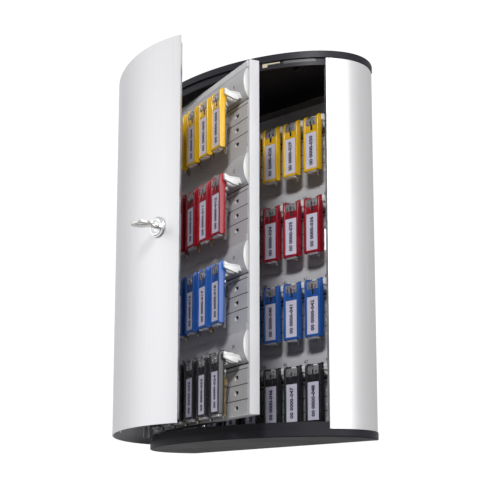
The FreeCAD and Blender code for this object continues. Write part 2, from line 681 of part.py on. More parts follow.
def tag_row(face_y, row, make):
    pieces = []
    for x in hook_places():
        pieces += make(x, face_y, row_bases(face_y)[row])
    return pieces


# ---- write every node -----------------------------------------------------------------------
def write_cabinet():
    base = base_cap()
    save("base_cap", base)
    save("top_cap", flip(base))
    save("back_wall", back_wall())
    save("wall_screw_collars", *wall_screw_collars())
    save("left_shell", left_shell())
    save("right_shell", right_shell())
    save("shell_edge_profile", shell_edge_profile())
    save("strike_plate", strike_plate())
    save("corner_posts", *corner_posts())
    save("door_pivot_pins", *pivot_pins(DOOR_AXIS))
    save("panel_pivot_pins", *pivot_pins(PANEL_AXIS))
    save("panel_catch", clean(panel_catch()))
    save("door_buffers", *door_buffers())
    save("back_hooks", *hooks(BACK_FACE_Y))
    save("back_hook_cheeks", *cheeks(BACK_FACE_Y))


def write_door():
    save("door_skin", open_door(door_skin()))
    save("door_hinge_profile", open_door(door_hinge_profile()))
    save("door_edge_profile", open_door(door_edge_profile()))
    save("door_stiffeners", *[open_door(s) for s in door_stiffeners()])
    save("lock_housing", open_door(lock_housing()))
    save("lock_rosette", open_door(lock_rosette()))
    save("lock_nut", open_door(lock_nut()))
    save("lock_plug", open_door(lock_plug()))
    save("lock_cam", open_door(lock_cam()))
    save("cam_screw", open_door(cam_screw()))
    save("key", open_door(key()))


def write_panel():
    save("panel_free_bar", open_panel(panel_free_bar()))
    save("panel_hinge_bar", open_panel(panel_hinge_bar()))
    save("panel_top_bar", open_panel(panel_top_bar()))
    save("panel_bottom_bar", open_panel(panel_bottom_bar()))
    save("panel_back_sheet", open_panel(panel_back_sheet()))
    save("panel_side_fillers", *[open_panel(s) for s in panel_fillers()])
    save("panel_hooks", *[open_panel(s) for s in hooks(PANEL_FACE_Y)])
    save("panel_hook_cheeks", *[open_panel(s) for s in cheeks(PANEL_FACE_Y)])


def write_rows():
    for row in range(RAIL_COUNT):
        number = str(row + 1)
        save("back_rail_" + number, rail(BACK_FACE_Y, row))
        save("back_tags_" + number, *tag_row(BACK_FACE_Y, row, key_tag))
        save("back_keys_" + number, *tag_row(BACK_FACE_Y, row, hung_key))
        save("panel_rail_" + number, open_panel(rail(PANEL_FACE_Y, row)))
        save("panel_tags_" + number, *[open_panel(s) for s in tag_row(PANEL_FACE_Y, row, key_tag)])
        save("panel_keys_" + number, *[open_panel(s) for s in tag_row(PANEL_FACE_Y, row, hung_key)])


os.makedirs(OUT, exist_ok=True)
write_cabinet()
write_door()
write_panel()
write_rows()
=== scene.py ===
import json
import math
import random

import bmesh
import bpy
from mathutils import Matrix, Vector


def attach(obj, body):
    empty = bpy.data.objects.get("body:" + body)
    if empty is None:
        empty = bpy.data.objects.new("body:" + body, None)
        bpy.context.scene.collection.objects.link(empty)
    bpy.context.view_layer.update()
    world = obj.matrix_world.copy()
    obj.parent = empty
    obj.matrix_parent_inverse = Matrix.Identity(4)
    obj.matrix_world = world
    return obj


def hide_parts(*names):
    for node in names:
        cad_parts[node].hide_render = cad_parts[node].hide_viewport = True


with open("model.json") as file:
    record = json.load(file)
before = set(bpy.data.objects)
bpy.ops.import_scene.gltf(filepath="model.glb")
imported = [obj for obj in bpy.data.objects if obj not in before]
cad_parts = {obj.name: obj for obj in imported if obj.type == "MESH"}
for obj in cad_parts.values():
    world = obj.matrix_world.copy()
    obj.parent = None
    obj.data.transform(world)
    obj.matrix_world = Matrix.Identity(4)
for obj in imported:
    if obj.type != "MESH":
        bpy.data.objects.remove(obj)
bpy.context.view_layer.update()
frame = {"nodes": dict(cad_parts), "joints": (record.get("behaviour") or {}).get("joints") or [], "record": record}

# Looks of a wall key cabinet. Shapes are written in millimetres in the closed cabinet's
# coordinates and turned to rest with their body; meshes are stored in metres.

MM = 0.001
NODES = frame["nodes"]
JOINTS = {joint["name"]: joint for joint in frame["joints"]}

# ---- dimensions repeated from the CAD, in millimetres ----------------------------------
HALF_WIDTH = 151.0
CAP_FACE_Z = 192.5
PANEL_HALF_H = 180.5
PLAN_CENTRE_Y = -33.9
HALF_DEPTH = 84.1
RAIL_PITCH = 90.3
BASE_Z = {"back": -180.4, "panel": -179.2}
RAIL_COUNT = 4
RAIL_HALF_WIDTH = 103.5
STRIP_H = 15.1
RAIL_SLOT_X = 80.0
UNDERCUT_Z = (48.6, 50.4)
BULGE_Z = (50.4, 82.4)
BULGE_CREST = 4.6
HOOK_PITCH = 31.0
HOOK_COUNT = 6
FACE_Y = {"back": -8.5, "panel": -69.5}
BODY = {"back": "cabinet", "panel": "swing_panel"}
RING_TOP = (15.2, 47.5)
RING_LOW = (13.5, 37.0)
KEY_HEAD = (10.5, 34.2)
KEY_TWIST = -36.0
TAG_PIVOT = (16.05, 58.2)
CHEEK_X = (12.2, 15.8)
LOCK_ANGLE = 318.9
SHEET_INSET = 0.8

# lettering: letter size, thickness and added stroke weight
PRINT = (6.4, 0.2, 0.24)
PRINT_PLACE = (0, 23.06, 23.1)
NUMBER = (5.6, 0.3, 0.06)
NUMBER_X = 4.0
NUMBER_Z = 68.0
LEAN_DEG = 1.6                      # each tag leans by up to this much, either way
TWIST_DEG = 7.0                     # and its key turns by up to this much

# studio: strength of the white surroundings in diffuse light, in gloss and as the backdrop
AMBIENT = 0.11
GLOSS_AMBIENT = 0.66
BACKDROP = 1.05
FLOOR_LIFT = 0.55
FLOOR_HALF = 4.0
FLOOR_Z = (-1.45, -1.4)
# name, azimuth, elevation, distance, size, watts
LIGHTS = [("key", 40, 27, 2.0, (0.35, 0.35), 30),
          ("right", 82, 8, 1.6, (0.9, 1.2), 8),
          ("left", -46, 6, 2.0, (2.2, 1.6), 7.5)]
CAMERA_PLACE = (975.86, -1008.97, -300.84)
CAMERA_TURN = 0.7929
CAMERA_PITCH_DEG = 10.68
CAMERA_LENS = 92.16
CAMERA_SHIFT = 0.1


# ---- turning closed shapes to rest -----------------------------------------------------
def rest_turn(joint_name):
    joint = JOINTS[joint_name]
    centre = Vector(joint["pos_m"]) / MM
    centre.z = 0
    turn = Matrix.Rotation(math.radians(joint["range_deg"][0]), 4, "Z")
    return Matrix.Translation(centre) @ turn @ Matrix.Translation(-centre)


IDENTITY = Matrix.Identity(4)
DOOR_TURN = rest_turn("door_hinge")
PANEL_TURN = rest_turn("panel_hinge")
REST = {"cabinet": IDENTITY, "swing_panel": PANEL_TURN, "door": DOOR_TURN,
        "lock_plug": DOOR_TURN, "key": DOOR_TURN}
for row_number in range(1, RAIL_COUNT + 1):
    REST["back_row_%d" % row_number] = IDENTITY
    REST["panel_row_%d" % row_number] = PANEL_TURN


# ---- materials -------------------------------------------------------------------------
class Nodes:
    """A material's node tree, with short calls for the nodes used here."""

    def __init__(self, name):
        self.material = bpy.data.materials.new(name)
        self.material.use_nodes = True
        self.tree = self.material.node_tree
        self.shader = self.tree.nodes["Principled BSDF"]
        coords = self.tree.nodes.new("ShaderNodeTexCoord")
        self.position = coords.outputs["Object"]

    def link(self, source, node, socket):
        self.tree.links.new(source, node.inputs[socket])

    def mapped(self, scale):
        node = self.tree.nodes.new("ShaderNodeMapping")
        node.inputs["Scale"].default_value = scale
        self.link(self.position, node, "Vector")
        return node.outputs["Vector"]

    def noise(self, scale, detail=3.0, roughness=0.55, stretch=(1, 1, 1)):
        node = self.tree.nodes.new("ShaderNodeTexNoise")
        node.inputs["Scale"].default_value = scale
        node.inputs["Detail"].default_value = detail
        node.inputs["Roughness"].default_value = roughness
        self.link(self.mapped(stretch), node, "Vector")
        return node.outputs["Fac"]

    def cells(self, scale, stretch=(1, 1, 1)):
        node = self.tree.nodes.new("ShaderNodeTexVoronoi")
        node.inputs["Scale"].default_value = scale
        self.link(self.mapped(stretch), node, "Vector")
        return node.outputs["Distance"]

    def ramp(self, value, low, high, start=0.3, end=0.7):
        node = self.tree.nodes.new("ShaderNodeMapRange")
        node.inputs["From Min"].default_value = start
        node.inputs["From Max"].default_value = end
        node.inputs["To Min"].default_value = low
        node.inputs["To Max"].default_value = high
        self.link(value, node, "Value")
        return node.outputs["Result"]

    def colours(self, value, stops):
        node = self.tree.nodes.new("ShaderNodeValToRGB")
        ramp = node.color_ramp
        while len(ramp.elements) < len(stops):
            ramp.elements.new(0.5)
        for element, (place, colour) in zip(ramp.elements, stops):
            element.position = place
            element.color = (*colour, 1)
        self.link(value, node, "Fac")
        return node.outputs["Color"]

    def sum(self, a, b, weight=1.0):
        node = self.tree.nodes.new("ShaderNodeMath")
        node.operation = "MULTIPLY_ADD"
        self.tree.links.new(b, node.inputs[0])
        node.inputs[1].default_value = weight
        self.tree.links.new(a, node.inputs[2])
        return node.outputs[0]

    def bump(self, height, distance, strength=0.6):
        node = self.tree.nodes.new("ShaderNodeBump")
        node.inputs["Strength"].default_value = strength
        node.inputs["Distance"].default_value = distance
        self.link(height, node, "Height")
        self.link(node.outputs["Normal"], self.shader, "Normal")

    def set(self, **sockets):
        for name, value in sockets.items():
            self.shader.inputs[name.replace("_", " ")].default_value = value


def shade(colour, factor):
    return tuple(min(1.0, channel * factor) for channel in colour)


def drawn_metal(name, colour, roughness, metallic, variation, lines=650.0):
    """Metal with fine upright draw or brush lines and faint handling clouds."""
    m = Nodes(name)
    brushed = m.noise(lines, 4.0, 0.6, (1, 1, 0.012))
    clouds = m.noise(9.0, 2.0, 0.5)
    mix = m.sum(brushed, clouds, 0.45)
    stops = [(0.45, shade(colour, 1 - variation)), (0.95, shade(colour, 1 + variation))]
    m.link(m.colours(mix, stops), m.shader, "Base Color")
    m.link(m.ramp(mix, roughness - 0.05, roughness + 0.07, 0.5, 0.95), m.shader, "Roughness")
    m.bump(brushed, 1.2e-5, 0.35)
    m.set(Metallic=metallic)
    return m.material


def cast_metal(name, colour, roughness):
    """Plated or milled metal with fine scratches and dull patches."""
    m = Nodes(name)
    scratches = m.noise(900.0, 3.0, 0.6, (1, 0.15, 0.6))
    patches = m.noise(120.0, 3.0, 0.6)
    stops = [(0.3, shade(colour, 0.84)), (0.7, shade(colour, 1.06))]
    m.link(m.colours(patches, stops), m.shader, "Base Color")
    mix = m.sum(patches, scratches, 0.5)
    m.link(m.ramp(mix, roughness * 0.7, roughness * 1.5, 0.5, 1.0), m.shader, "Roughness")
    m.bump(scratches, 1.0e-5, 0.3)
    m.set(Metallic=1.0)
    return m.material


def moulded(name, colour, roughness, grain=1400.0, depth=2.0e-5, variation=0.08, coat=0.0):
    """Moulded or coated surface with a fine grain and slight unevenness in colour and gloss."""
    m = Nodes(name)
    fine = m.noise(grain, 2.0, 0.6)
    clouds = m.noise(26.0, 3.0, 0.55)
    stops = [(0.3, shade(colour, 1 - variation)), (0.7, shade(colour, 1 + variation))]
    m.link(m.colours(clouds, stops), m.shader, "Base Color")
    mix = m.sum(clouds, fine, 0.5)
    m.link(m.ramp(mix, roughness - 0.05, roughness + 0.05, 0.5, 1.0), m.shader, "Roughness")
    m.bump(fine, depth, 0.4)
    m.set(Coat_Weight=coat, Coat_Roughness=0.12)
    return m.material


def grained(name, colour, roughness, cells=900.0, depth=6.0e-5, specular=0.5):
    """Spark-eroded plastic or powder-coat grain."""
    m = Nodes(name)
    m.shader.inputs["Specular IOR Level"].default_value = specular
    pits = m.cells(cells)
    clouds = m.noise(14.0, 3.0, 0.6)
    stops = [(0.35, shade(colour, 0.8)), (0.95, shade(colour, 1.25))]
    m.link(m.colours(m.sum(clouds, pits, 0.35), stops), m.shader, "Base Color")
    m.link(m.ramp(clouds, roughness - 0.05, roughness + 0.06), m.shader, "Roughness")
    m.bump(pits, depth, 0.35)
    return m.material


def paper(name, colour):
    """Card with fine fibres behind a clear glossy cover."""
    m = Nodes(name)
    fibres = m.noise(1800.0, 4.0, 0.7, (1, 1, 0.35))
    clouds = m.noise(60.0, 2.0, 0.5)
    stops = [(0.5, shade(colour, 0.93)), (1.0, shade(colour, 1.04))]
    m.link(m.colours(m.sum(clouds, fibres, 0.5), stops), m.shader, "Base Color")
    m.link(m.ramp(fibres, 0.42, 0.6), m.shader, "Roughness")
    m.bump(fibres, 1.0e-5, 0.3)
    m.set(Coat_Weight=0.6, Coat_Roughness=0.08)
    return m.material


def clear_plastic(name, colour):
    """Slightly hazy see-through plastic."""
    m = Nodes(name)
    haze = m.noise(300.0, 3.0, 0.6)
    m.link(m.colours(haze, [(0.3, shade(colour, 0.93)), (0.7, colour)]), m.shader, "Base Color")
    m.link(m.ramp(haze, 0.06, 0.2), m.shader, "Roughness")
    m.bump(haze, 1.0e-5, 0.3)
    m.set(Transmission_Weight=0.72, IOR=1.49)
    return m.material


def felt(name, colour):
    """Short dense fibres."""
    m = Nodes(name)
    fibres = m.noise(2200.0, 5.0, 0.75)
    stops = [(0.3, shade(colour, 0.75)), (0.7, shade(colour, 1.15))]
    m.link(m.colours(fibres, stops), m.shader, "Base Color")
    m.link(m.ramp(fibres, 0.85, 0.97), m.shader, "Roughness")
    m.bump(fibres, 1.5e-4, 0.6)
    m.set(Sheen_Weight=0.3)
    return m.material


TAG_COLOURS = {4: ("yellow", (0.80, 0.47, 0.012)), 3: ("red", (0.31, 0.005, 0.018)),
               2: ("blue", (0.018, 0.10, 0.40)), 1: ("black", (0.018, 0.018, 0.022))}
DOOR_METAL = drawn_metal("door_brushed", (0.79, 0.785, 0.81), 0.42, 0.75, 0.035)
SHELL_METAL = drawn_metal("shell_satin", (0.74, 0.74, 0.75), 0.42, 0.7, 0.03, 500.0)
TRIM_METAL = drawn_metal("trim_bright", (0.86, 0.86, 0.87), 0.27, 0.85, 0.03, 700.0)
PROFILE_METAL = drawn_metal("profile_mill", (0.60, 0.60, 0.61), 0.42, 0.8, 0.06, 420.0)
CAP_PLASTIC = grained("cap_anthracite", (0.018, 0.017, 0.023), 0.45, specular=0.2)
# back wall: grained coat whose dark brown-grey is painted shade, the sheet coloured as it looks in the cabinet's
# shadow
WALL_SHADE_COAT = grained("wall_painted_shade_coat", (0.17, 0.155, 0.145), 0.5, 420.0, 4.0e-5)
RAIL_COAT = moulded("rail_grey_coat", (0.55, 0.55, 0.57), 0.4, 1500.0, 1.5e-5, 0.05)
FRAME_COAT = moulded("frame_light_coat", (0.66, 0.66, 0.68), 0.36, 1500.0, 1.5e-5, 0.04)
HOOK_PLASTIC = moulded("hook_white", (0.80, 0.80, 0.79), 0.2, 700.0, 1.5e-5, 0.04, 0.4)
STEEL = cast_metal("zinc_steel", (0.55, 0.55, 0.57), 0.33)
CHROME = cast_metal("lock_chrome_plate", (0.80, 0.80, 0.81), 0.12)
NICKEL = cast_metal("key_nickel_plate", (0.72, 0.70, 0.66), 0.2)
BRASS = cast_metal("key_brass", (0.72, 0.50, 0.20), 0.26)
SILVER = cast_metal("key_silver", (0.50, 0.50, 0.51), 0.26)
KEY_COVER = moulded("key_cover_black", (0.014, 0.014, 0.016), 0.35)
BUFFER = felt("buffer_cream", (0.60, 0.55, 0.40))
LABEL = paper("label_card", (0.74, 0.72, 0.86))
INK = moulded("label_print", (0.02, 0.015, 0.05), 0.5, 1800.0, 1.0e-5, 0.15)
MARKING = moulded("rail_marking", (0.10, 0.10, 0.12), 0.5, 1800.0, 1.0e-5, 0.15)
CLEAR = clear_plastic("clear_snap", (0.93, 0.92, 0.97))
GASKET = moulded("lip_gasket_grey", (0.07, 0.07, 0.075), 0.5, 1500.0, 1.5e-5, 0.1)
# near-black painted shade, put in grooves, gaps, holes and recesses where shade falls
PAINTED_SHADE_DARK = moulded("painted_shade_dark", (0.012, 0.012, 0.012), 0.55)
TAG_PLASTIC = {row: moulded("tag_" + name, colour, 0.24, 900.0, 1.2e-5, 0.07, 0.35)
               for row, (name, colour) in TAG_COLOURS.items()}

SLOT_MATERIALS = {
    "cap_plastic": CAP_PLASTIC, "shell_aluminium": SHELL_METAL, "trim_aluminium": TRIM_METAL,
    "door_aluminium": DOOR_METAL, "inner_profiles": PROFILE_METAL, "steel": STEEL,
    "lock_chrome": CHROME, "key_nickel": NICKEL, "buffer_felt": BUFFER,
    "hook_plastic": HOOK_PLASTIC, "rail_grey": RAIL_COAT, "panel_frame": FRAME_COAT,
    "tag_yellow": TAG_PLASTIC[4], "tag_red": TAG_PLASTIC[3], "tag_blue": TAG_PLASTIC[2],
    "tag_black": TAG_PLASTIC[1], "hung_keys": SILVER,
}
# the back wall takes the grained coat with painted shade in its colour
NODE_MATERIALS = {"back_wall": WALL_SHADE_COAT}


def dress_nodes():
    for part in frame["record"]["subparts"]:
        node = NODES[part["node"]]
        material = NODE_MATERIALS.get(part["node"], SLOT_MATERIALS[part["material_slot"]])
        for slot in node.material_slots:
            slot.material = material


# ---- mesh helpers ----------------------------------------------------------------------
def extrude(bm, outline, offset, material=0):
    """Closed solid swept from a polygon by an offset."""
    near = [bm.verts.new(point) for point in outline]
    far = [bm.verts.new(Vector(point) + Vector(offset)) for point in outline]
    count = len(outline)
    faces = [bm.faces.new(near), bm.faces.new(far[::-1])]
    for i in range(count):
        j = (i + 1) % count
        faces.append(bm.faces.new((near[j], near[i], far[i], far[j])))
    for face in faces:
        face.material_index = material
    return faces


def block(bm, low, high, material=0):
    x0, y0, z0 = low
    x1, y1, z1 = high
    outline = [(x0, y0, z0), (x1, y0, z0), (x1, y1, z0), (x0, y1, z0)]
    return extrude(bm, outline, (0, 0, z1 - z0), material)


def ring_solid(bm, outer, inner, offset, material=0):
    """Closed plate between two loops with the same number of points."""
    count = len(outer)
    offset = Vector(offset)
    stages = ((outer, Vector()), (outer, offset), (inner, offset), (inner, Vector()))
    loops = [[bm.verts.new(Vector(p) + shift) for p in loop] for loop, shift in stages]
    faces = []
    for a, b in zip(loops, loops[1:] + loops[:1]):
        for i in range(count):
            j = (i + 1) % count
            faces.append(bm.faces.new((a[i], a[j], b[j], b[i])))
    for face in faces:
        face.material_index = material
    return faces


def circle(radius, count):
    """Points (u, v) evenly round a circle."""
    angles = [2 * math.pi * i / count for i in range(count)]
    return [(radius * math.cos(a), radius * math.sin(a)) for a in angles]


def rounded_box(half_u, half_v, power, count):
    """Points (u, v) round a shape between an ellipse and a box; power 1 is the ellipse."""
    def bend(value):
        return math.copysign(abs(value) ** power, value)
    return [(half_u * bend(u), half_v * bend(v)) for u, v in circle(1.0, count)]


def lathe(bm, profile, segments=40):
    """Solid turned about local Z from (radius, height) pairs."""
    rings = []
    for radius, height in profile:
        if radius < 1e-6:
            rings.append([bm.verts.new((0, 0, height))])
        else:
            rings.append([bm.verts.new((u, v, height)) for u, v in circle(radius, segments)])
    for a, b in zip(rings, rings[1:]):
        for i in range(segments):
            j = (i + 1) % segments
            corners = [a[i % len(a)], a[j % len(a)], b[j % len(b)], b[i % len(b)]]
            bm.faces.new(list(dict.fromkeys(corners)))


def torus(bm, matrix, radius, wire, turns=28, sides=8):
    """Closed ring of wire round the matrix's Z."""
    loops = []
    for cos_a, sin_a in circle(1.0, turns):
        section = [(radius + u, v) for u, v in circle(wire, sides)]
        loops.append([bm.verts.new(matrix @ Vector((r * cos_a, r * sin_a, h))) for r, h in section])
    for i in range(turns):
        a, b = loops[i], loops[(i + 1) % turns]
        for j in range(sides):
            k = (j + 1) % sides
            bm.faces.new((a[j], a[k], b[k], b[j]))


def soften(bm, width, segments=2, angle=32.0):
    """Round every sharp edge."""
    bmesh.ops.recalc_face_normals(bm, faces=bm.faces)
    limit = math.radians(angle)
    edges = [e for e in bm.edges if len(e.link_faces) == 2 and e.calc_face_angle(0) > limit]
    bmesh.ops.bevel(bm, geom=edges, offset=width, offset_type="OFFSET", segments=segments,
                    profile=0.5, affect="EDGES", clamp_overlap=True)


def template(build, width=0.0, segments=2):
    """Mesh of one part in millimetres, ready to be placed many times."""
    bm = bmesh.new()
    build(bm)
    if width:
        soften(bm, width, segments)
    bmesh.ops.recalc_face_normals(bm, faces=bm.faces)
    mesh = bpy.data.meshes.new("template")
    bm.to_mesh(mesh)
    bm.free()
    return mesh


def place(bm, mesh, matrix):
    """Add a turned and moved copy of a mesh."""
    copy = mesh.copy()
    copy.transform(matrix)
    bm.from_mesh(copy)
    bpy.data.meshes.remove(copy)


def finish_piece(name, bm, materials, body, replaced=(), smooth=38.0):
    """Turn the shape to rest, store it in metres and tie it to its body."""
    bmesh.ops.transform(bm, matrix=Matrix.Scale(MM, 4) @ REST[body], verts=bm.verts)
    mesh = bpy.data.meshes.new(name)
    bm.to_mesh(mesh)
    bm.free()
    for material in materials:
        mesh.materials.append(material)
    mesh.polygons.foreach_set("use_smooth", [True] * len(mesh.polygons))
    mesh.set_sharp_from_angle(angle=math.radians(smooth))
    piece = bpy.data.objects.new(name, mesh)
    bpy.context.scene.collection.objects.link(piece)
    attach(piece, body)
    if replaced:
        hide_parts(*replaced)
    return piece


def text_mesh(text, size, thickness, weight):
    """Solid lettering in the local XY plane, centred, in millimetres."""
    curve = bpy.data.curves.new("lettering", "FONT")
    curve.body = text
    curve.size = size
    curve.extrude = thickness / 2
    curve.offset = weight
    curve.resolution_u = 2
    curve.align_x = "CENTER"
    curve.align_y = "CENTER"
    holder = bpy.data.objects.new("lettering", curve)
    bpy.context.scene.collection.objects.link(holder)
    bpy.context.view_layer.update()
    evaluated = holder.evaluated_get(bpy.context.evaluated_depsgraph_get())
    mesh = bpy.data.meshes.new_from_object(evaluated)
    bpy.data.objects.remove(holder)
    bpy.data.curves.remove(curve)
    bm = bmesh.new()
    bm.from_mesh(mesh)
    bmesh.ops.remove_doubles(bm, verts=bm.verts, dist=1e-4)
    bmesh.ops.dissolve_degenerate(bm, dist=1e-4, edges=bm.edges)
    bmesh.ops.recalc_face_normals(bm, faces=bm.faces)
    bm.to_mesh(mesh)
    bm.free()
    return mesh


# ---- places on the rails ---------------------------------------------------------------
def hook_places():
    first = -HOOK_PITCH * (HOOK_COUNT - 1) / 2
    return [first + HOOK_PITCH * i for i in range(HOOK_COUNT)]


def rail_matrix(side, row, x=0.0):
    """From (x, p out of the strip face, z above the rail base) to closed cabinet coordinates."""
    base_z = BASE_Z[side] + (row - 1) * RAIL_PITCH
    return Matrix(((1, 0, 0, x), (0, -1, 0, FACE_Y[side]), (0, 0, 1, base_z), (0, 0, 0, 1)))


def bulge_out(z):
    """How far the rail's bulge stands out of the strip face at a height."""
    low, high = Vector((-1.0, BULGE_Z[0])), Vector((1.0, BULGE_Z[1]))
    crest = Vector((BULGE_CREST, (BULGE_Z[0] + BULGE_Z[1]) / 2))
    # circle through the three points
    ax, ay, bx, by = crest.x - low.x, crest.y - low.y, high.x - low.x, high.y - low.y
    d = 2 * (ax * by - ay * bx)
    ux = (by * (ax * ax + ay * ay) - ay * (bx * bx + by * by)) / d
    uy = (ax * (bx * bx + by * by) - bx * (ax * ax + ay * ay)) / d
    centre = low + Vector((ux, uy))
    radius = math.hypot(ux, uy)
    return centre.x + math.sqrt(max(0.0, radius ** 2 - (z - centre.y) ** 2))


# ---- key tags --------------------------------------------------------------------------
TAG_HALF = 11.0
TAG_RIM = 2.8
TAG_SIDE = [(17.4, 1.4), (18.2, 0.4), (19.4, 0.0), (22.2, 0.0), (23.4, 0.6), (24.0, 1.8),
            (24.0, 58.0), (23.5, 60.3), (22.0, 62.1), (19.8, 63.1), (18.2, 63.1), (17.4, 62.4)]


def tag_frame(bm):
    """Two straight sides with rounded tops, a tray, a head block with its eye, and the loop."""
    for side in (-1, 1):
        x0 = side * TAG_HALF
        x1 = side * (TAG_HALF - TAG_RIM)
        extrude(bm, [(x0, p, z) for p, z in TAG_SIDE], (x1 - x0, 0, 0))
    inner = TAG_HALF - TAG_RIM + 0.6
    block(bm, (-inner, 17.5, 1.4), (inner, 20.4, 45.0))
    block(bm, (-inner, 17.8, 0.3), (inner, 23.4, 3.2))
    block(bm, (-inner, 17.8, 43.0), (inner, 23.2, 45.6))
    for side in (-1, 1):
        low, high = sorted((side * 1.8, side * inner))
        block(bm, (low, 17.8, 45.2), (high, 22.8, 51.4))
        low, high = sorted((side * 5.1, side * 8.5))
        block(bm, (low, 14.9, 49.2), (high, 17.9, 63.0))
    block(bm, (-8.4, 14.9, 58.4), (8.4, 17.2, 63.0))


def tag_label(bm):
    """Label card in the frame's window."""
    block(bm, (-8.1, 20.3, 3.1), (8.1, 23.0, 43.1))


def tag_clear(bm):
    """Clear sleeve end below the frame and the clear snap cover in the head."""
    block(bm, (-7.4, 18.2, -2.0), (7.4, 22.8, 0.7))
    cover = [(21.9, 51.2), (23.5, 51.2), (23.5, 57.8), (22.9, 59.6), (21.9, 60.4), (21.7, 59.4),
             (22.1, 57.2)]
    extrude(bm, [(-7.6, p, z) for p, z in cover], (15.2, 0, 0))


def tag_metal(bm):
    """Dark eye and a dark block between the rivets, painted shade in the head's openings, a small sprung clip and
    the two rivets of the snap cover.
    """
    clip = [(22.5, 56.6), (23.6, 57.0), (23.0, 59.6), (22.0, 59.2)]
    # dark eye: painted shade in the slot
    block(bm, (-1.7, 18.6, 45.4), (1.7, 22.4, 51.2), 1)
    for x in (-4.6, 4.6):
        block(bm, (x - 1.1, 23.0, 52.2), (x + 1.1, 23.8, 55.2))
    extrude(bm, [(-6.4, p, z) for p, z in clip], (12.8, 0, 0))
    # dark block: painted shade of the recess behind the snap cover
    block(bm, (-1.3, 22.8, 51.6), (1.3, 23.7, 56.4), 1)


TAG_FRAME = template(tag_frame, 0.7, 3)
TAG_LABEL = template(tag_label, 0.2, 1)
TAG_CLEAR = template(tag_clear, 0.5, 2)
TAG_METAL = template(tag_metal, 0.25, 2)
# lettering that reads upwards along a label, and level along a rail
TEXT_UP = Matrix(((0, -1, 0, 0), (0, 0, 1, 0), (1, 0, 0, 0), (0, 0, 0, 1)))
TEXT_LEVEL = Matrix(((1, 0, 0, 0), (0, 0, 1, 0), (0, 1, 0, 0), (0, 0, 0, 1)))


def key_outline(teeth):
    """Blade outline (p, z), with cuts along the side that faces the rail."""
    points = [(13.6, 30.0), (13.6, -1.6), (12.4, -3.0), (9.6, -3.0)]
    z = -1.6
    for depth in teeth:
        points += [(8.2 + depth, z), (8.2 + depth, z + 2.0)]
        z += 3.4
    points += [(8.2, 24.0), (7.2, 25.0), (7.2, 30.0)]
    return points


def hung_key(teeth, material, covered):
    """Flat key with a round head, or a squarish plastic-covered one, pierced for its ring."""
    points = 24
    head_r, hole_r = 6.5, 1.7
    blade_half = 1.0
    half = 1.5 if covered else blade_half
    power = 0.6 if covered else 1.0

    def build(bm):
        outline = [(-blade_half, p, z) for p, z in key_outline(teeth)]
        extrude(bm, outline, (2 * blade_half, 0, 0), material)
        outer = [(-half, KEY_HEAD[0] + u, KEY_HEAD[1] + v)
                 for u, v in rounded_box(head_r, head_r, power, points)]
        inner = [(-half, RING_LOW[0] + u, RING_LOW[1] + v) for u, v in circle(hole_r, points)]
        ring_solid(bm, outer, inner, (2 * half, 0, 0), 2 if covered else material)
    return template(build, 0.3, 2)


def split_ring():
    """Two-turn steel ring through the tag's lug and the key."""
    def build(bm):
        top, low = Vector((0, *RING_TOP)), Vector((0, *RING_LOW))
        line = (low - top).normalized()
        sideways = Vector((1, 0, 0))
        axis = line.cross(sideways)
        frame_matrix = Matrix((sideways, line, axis)).transposed().to_4x4()
        for shift in (-0.36, 0.36):
            centre = Matrix.Translation((top + low) / 2 + axis * shift)
            torus(bm, centre @ frame_matrix, 5.35, 0.42)
    return template(build)


random.seed(48)
# six kinds: plain and brass keys in turn, the last two with black covers
KEYS = []
for index in range(6):
    cuts = [random.uniform(0.2, 1.9) for _ in range(7)]
    KEYS.append(hung_key(cuts, index % 2, index >= 4))
RING = split_ring()
# kind of key on the right-hand hook of each row
NEAR_KEYS = {("panel", 4): 0, ("panel", 3): 2, ("panel", 2): 4, ("panel", 1): 1,
             ("back", 4): 4, ("back", 3): 4, ("back", 2): 5, ("back", 1): 5}


def key_number(side, row, place_index):
    """Hooks are numbered from the panel's top left to the back's lower right."""
    first = 1 if side == "panel" else 25
    return first + (RAIL_COUNT - row) * HOOK_COUNT + place_index


def tag_row(side, row):
    """Six tags with their labels, rings and keys, all on the row's body."""
    body = "%s_row_%d" % (side, row)
    frames, labels, clears, metals, prints, keys = [bmesh.new() for _ in range(6)]
    for i, x in enumerate(hook_places()):
        here = rail_matrix(side, row, x)
        lean = Matrix.Rotation(math.radians(random.uniform(-LEAN_DEG, LEAN_DEG)), 4, "Z")
        pivot = Matrix.Translation((0, *TAG_PIVOT))
        sway = pivot @ lean @ pivot.inverted()
        for bm, mesh in ((frames, TAG_FRAME), (labels, TAG_LABEL), (clears, TAG_CLEAR),
                         (metals, TAG_METAL)):
            place(bm, mesh, here @ sway)
        lettering = text_mesh("00 0000-%03d" % key_number(side, row, i), *PRINT)
        place(prints, lettering, here @ sway @ Matrix.Translation(PRINT_PLACE) @ TEXT_UP)
        turn = math.radians(KEY_TWIST + random.uniform(-TWIST_DEG, TWIST_DEG))
        ring_foot = Matrix.Translation((0, RING_LOW[0], 0))
        twist = ring_foot @ Matrix.Rotation(turn, 4, "Z") @ ring_foot.inverted()
        kind = NEAR_KEYS[side, row] if i == HOOK_COUNT - 1 else random.randrange(len(KEYS))
        place(keys, KEYS[kind], here @ twist)
        place(keys, RING, here)
    for bm in (frames, labels, clears, metals, prints, keys):
        bmesh.ops.recalc_face_normals(bm, faces=bm.faces)
    finish_piece(body + "_tag_frames", frames, [TAG_PLASTIC[row]], body,
                 ["%s_tags_%d" % (side, row)])
    finish_piece(body + "_tag_labels", labels, [LABEL], body)
    finish_piece(body + "_tag_sleeves", clears, [CLEAR], body)
    finish_piece(body + "_tag_clips", metals, [SILVER, PAINTED_SHADE_DARK], body)
    finish_piece(body + "_tag_print", prints, [INK], body)
    finish_piece(body + "_key_set", keys, [SILVER, BRASS, KEY_COVER], body,
                 ["%s_keys_%d" % (side, row)])


